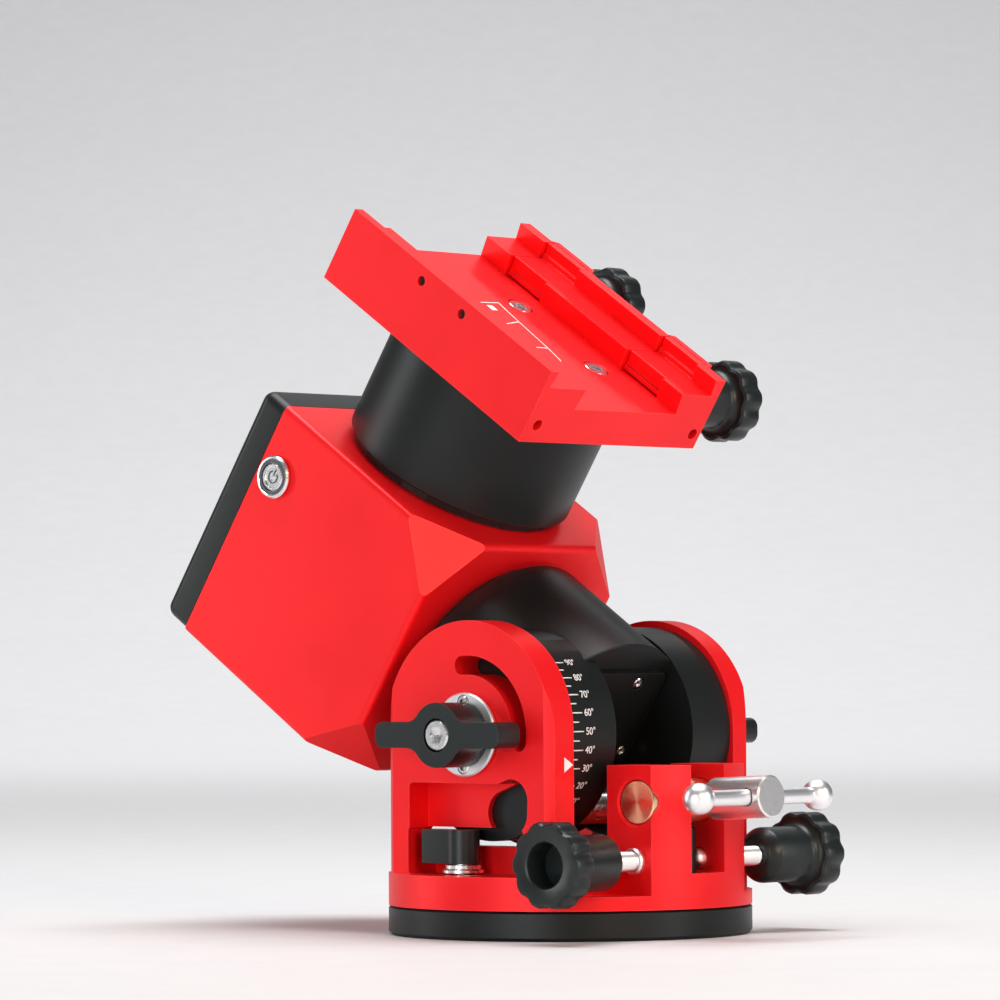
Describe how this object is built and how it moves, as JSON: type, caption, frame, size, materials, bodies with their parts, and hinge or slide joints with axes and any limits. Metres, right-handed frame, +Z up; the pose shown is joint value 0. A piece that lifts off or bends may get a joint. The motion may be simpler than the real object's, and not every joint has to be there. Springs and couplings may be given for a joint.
{
  "type": "strain-wave equatorial mount",
  "caption": "Equatorial mount: tilting yoke base with latitude and azimuth screws, two strain-wave axes at right angles and a dual dovetail saddle with clamp knobs.",
  "frame": {"origin": "centre of the round base's underside, on the azimuth axis", "axes": "+Z up along the azimuth axis; +X towards the latitude handle; -Y towards the side with the power button at rest; the right ascension axis is in the XZ plane, 33.5 degrees from level"},
  "size_m": [0.2284, 0.1467, 0.2403],
  "materials": {
    "red_anodised": "satin red anodised",
    "black_anodised": "satin black anodised",
    "slate_knob": "glossy dark slate anodised",
    "silver": "turned stainless",
    "brass": "turned brass",
    "steel": "ground steel",
    "belt_rubber": "matte",
    "circuit_board": "solder mask",
    "black_plastic": "moulded"
  },
  "bodies": {
    "base": {"base_puck": "black_anodised", "tripod_bush": "steel", "azimuth_post": "steel", "clamp_stud_near": "steel", "clamp_stud_far": "steel", "clamp_washer_near": "silver", "clamp_washer_far": "silver"},
    "azimuth_lever_near": {"azimuth_lever_near": "slate_knob"},
    "azimuth_lever_far": {"azimuth_lever_far": "slate_knob"},
    "yoke": {"yoke": "red_anodised", "pivot_flange_near": "silver", "pivot_flange_far": "silver"},
    "azimuth_screw_near": {"azimuth_screw_near": "silver"},
    "azimuth_screw_far": {"azimuth_screw_far": "silver"},
    "azimuth_knob_near": {"azimuth_knob_near": "slate_knob"},
    "azimuth_knob_far": {"azimuth_knob_far": "slate_knob"},
    "wing_near": {"wing_lever_near": "slate_knob", "wing_screw_near": "silver"},
    "wing_far": {"wing_lever_far": "slate_knob", "wing_screw_far": "silver"},
    "trunnion": {"trunnion": "brass"},
    "latitude_screw": {"latitude_screw": "silver"},
    "latitude_nut": {"latitude_nut": "brass"},
    "altitude": {"altitude_body": "black_anodised", "tube_end_cover": "black_anodised", "ra_circular_spline": "steel"},
    "right_ascension": {"block_shell": "red_anodised", "rear_cover": "black_anodised", "control_board": "circuit_board", "power_socket": "black_plastic", "handset_socket": "black_plastic", "power_button_bezel": "silver", "ra_bearing": "steel", "ra_flexspline": "steel", "ra_belt": "belt_rubber", "ra_motor": "black_anodised", "dec_bearing": "steel", "dec_flexspline": "steel", "dec_belt": "belt_rubber", "dec_motor": "black_anodised"},
    "ra_wave_generator": {"ra_wave_generator": "steel", "ra_pulley": "silver"},
    "ra_motor_pulley": {"ra_motor_pulley": "silver"},
    "power_button": {"power_button": "silver"},
    "declination": {"dec_housing": "black_anodised", "dec_circular_spline": "steel", "saddle": "red_anodised", "saddle_bolt_1": "silver", "saddle_bolt_2": "silver", "saddle_bolt_3": "silver", "saddle_bolt_4": "silver"},
    "dec_wave_generator": {"dec_wave_generator": "steel", "dec_pulley": "silver"},
    "dec_motor_pulley": {"dec_motor_pulley": "silver"},
    "saddle_jaw_front": {"saddle_jaw_front": "red_anodised"},
    "saddle_jaw_rear": {"saddle_jaw_rear": "red_anodised"},
    "saddle_screw_front": {"saddle_screw_front": "silver"},
    "saddle_screw_rear": {"saddle_screw_rear": "silver"},
    "saddle_knob_front": {"saddle_knob_front": "slate_knob"},
    "saddle_knob_rear": {"saddle_knob_rear": "slate_knob"}
  },
  "joints": [
    {"name": "azimuth_turn", "type": "hinge", "parent": "base", "child": "yoke", "pos_m": [0, 0, 0.0151], "axis": [0, 0, 1], "range_deg": [-3.5, 3.5]},
    {"name": "azimuth_clamp_near", "type": "hinge", "parent": "base", "child": "azimuth_lever_near", "pos_m": [-0.007, -0.0445, 0.029], "axis": [0, 0, 1], "range_deg": [0, 80]},
    {"name": "azimuth_clamp_far", "type": "hinge", "parent": "base", "child": "azimuth_lever_far", "pos_m": [-0.007, 0.047, 0.029], "axis": [0, 0, -1], "range_deg": [0, 80]},
    {"name": "azimuth_push_near", "type": "slide", "parent": "yoke", "child": "azimuth_screw_near", "axis": [0, 1, 0], "range_m": [-0.0032, 0.0032]},
    {"name": "azimuth_knob_turn_near", "type": "hinge", "parent": "azimuth_screw_near", "child": "azimuth_knob_near", "pos_m": [0.0485, -0.06, 0.0253], "axis": [0, 1, 0], "range_deg": [-1152, 1152]},
    {"name": "azimuth_push_far", "type": "slide", "parent": "yoke", "child": "azimuth_screw_far", "axis": [0, 1, 0], "range_m": [-0.0032, 0.0032]},
    {"name": "azimuth_knob_turn_far", "type": "hinge", "parent": "azimuth_screw_far", "child": "azimuth_knob_far", "pos_m": [0.0485, 0.06, 0.0253], "axis": [0, 1, 0], "range_deg": [-1152, 1152]},
    {"name": "altitude_tilt", "type": "hinge", "parent": "yoke", "child": "altitude", "pos_m": [0, 0, 0.066], "axis": [0, 1, 0], "range_deg": [-33.5, 56.5]},
    {"name": "altitude_clamp_near", "type": "hinge", "parent": "yoke", "child": "wing_near", "pos_m": [0, -0.0587, 0.066], "axis": [0, -1, 0], "range_deg": [0, 180]},
    {"name": "altitude_clamp_far", "type": "hinge", "parent": "yoke", "child": "wing_far", "pos_m": [0, 0.0587, 0.066], "axis": [0, 1, 0], "range_deg": [0, 180]},
    {"name": "trunnion_tilt", "type": "hinge", "parent": "yoke", "child": "trunnion", "pos_m": [0.049, 0, 0.0442], "axis": [0, 1, 0], "range_deg": [-1, 10]},
    {"name": "latitude_screw_turn", "type": "hinge", "parent": "trunnion", "child": "latitude_screw", "pos_m": [0.049, 0, 0.0442], "axis": [0.9986, 0, 0.0523], "range_deg": [-4250, 7100]},
    {"name": "latitude_nut_travel", "type": "slide", "parent": "trunnion", "child": "latitude_nut", "axis": [0.9986, 0, 0.0523], "range_m": [-0.025, 0.015]},
    {"name": "right_ascension", "type": "hinge", "parent": "altitude", "child": "right_ascension", "pos_m": [0, 0, 0.066], "axis": [0.8339, 0, -0.5519], "continuous": true},
    {"name": "ra_wave_generator_turn", "type": "hinge", "parent": "right_ascension", "child": "ra_wave_generator", "pos_m": [-0.04169, 0, 0.0936], "axis": [0.8339, 0, -0.5519], "continuous": true},
    {"name": "ra_motor_turn", "type": "hinge", "parent": "right_ascension", "child": "ra_motor_pulley", "pos_m": [-0.05909, -0.024, 0.07873], "axis": [0.8339, 0, -0.5519], "continuous": true},
    {"name": "declination", "type": "hinge", "parent": "right_ascension", "child": "declination", "pos_m": [-0.03752, 0, 0.17238], "axis": [0.5519, 0, 0.8339], "continuous": true},
    {"name": "dec_wave_generator_turn", "type": "hinge", "parent": "right_ascension", "child": "dec_wave_generator", "pos_m": [-0.05408, 0, 0.14736], "axis": [0.5519, 0, 0.8339], "continuous": true},
    {"name": "dec_motor_turn", "type": "hinge", "parent": "right_ascension", "child": "dec_motor_pulley", "pos_m": [-0.06998, 0.024, 0.15051], "axis": [0.5519, 0, 0.8339], "continuous": true},
    {"name": "power_button_press", "type": "slide", "parent": "right_ascension", "child": "power_button", "axis": [0, 1, 0], "range_m": [0, 0.0012], "stiffness_N_per_m": 600, "springref_m": -0.0008},
    {"name": "saddle_screw_travel_front", "type": "slide", "parent": "declination", "child": "saddle_screw_front", "axis": [0, -1, 0], "range_m": [0, 0.0031]},
    {"name": "saddle_knob_turn_front", "type": "hinge", "parent": "saddle_screw_front", "child": "saddle_knob_front", "pos_m": [0.00504, 0.0647, 0.17779], "axis": [0, -1, 0], "range_deg": [0, 1080]},
    {"name": "saddle_jaw_travel_front", "type": "slide", "parent": "declination", "child": "saddle_jaw_front", "axis": [0, -1, 0], "range_m": [0, 0.0031]},
    {"name": "saddle_screw_travel_rear", "type": "slide", "parent": "declination", "child": "saddle_screw_rear", "axis": [0, -1, 0], "range_m": [0, 0.0031]},
    {"name": "saddle_knob_turn_rear", "type": "hinge", "parent": "saddle_screw_rear", "child": "saddle_knob_rear", "pos_m": [-0.04708, 0.0647, 0.21229], "axis": [0, -1, 0], "range_deg": [0, 1080]},
    {"name": "saddle_jaw_travel_rear", "type": "slide", "parent": "declination", "child": "saddle_jaw_rear", "axis": [0, -1, 0], "range_m": [0, 0.0031]}
  ],
  "couplings": [
    {"joint": "azimuth_push_near", "follows": "azimuth_turn", "m_per_rad": -0.0485},
    {"joint": "azimuth_push_far", "follows": "azimuth_turn", "m_per_rad": -0.0485},
    {"joint": "azimuth_knob_turn_near", "follows": "azimuth_turn", "ratio": -304.73},
    {"joint": "azimuth_knob_turn_far", "follows": "azimuth_turn", "ratio": -304.73},
    {"joint": "latitude_screw_turn", "follows": "altitude_tilt", "ratio": 122},
    {"joint": "latitude_nut_travel", "follows": "altitude_tilt", "m_per_rad": -0.0243},
    {"joint": "ra_wave_generator_turn", "follows": "right_ascension", "ratio": -101},
    {"joint": "ra_motor_turn", "follows": "right_ascension", "ratio": -303},
    {"joint": "dec_wave_generator_turn", "follows": "declination", "ratio": 101},
    {"joint": "dec_motor_turn", "follows": "declination", "ratio": 303},
    {"joint": "saddle_screw_travel_front", "follows": "saddle_knob_turn_front", "m_per_rad": 0.00015915},
    {"joint": "saddle_screw_travel_rear", "follows": "saddle_knob_turn_rear", "m_per_rad": 0.00015915},
    {"joint": "saddle_jaw_travel_front", "follows": "saddle_knob_turn_front", "m_per_rad": 0.00015915},
    {"joint": "saddle_jaw_travel_rear", "follows": "saddle_knob_turn_rear", "m_per_rad": 0.00015915}
  ]
}
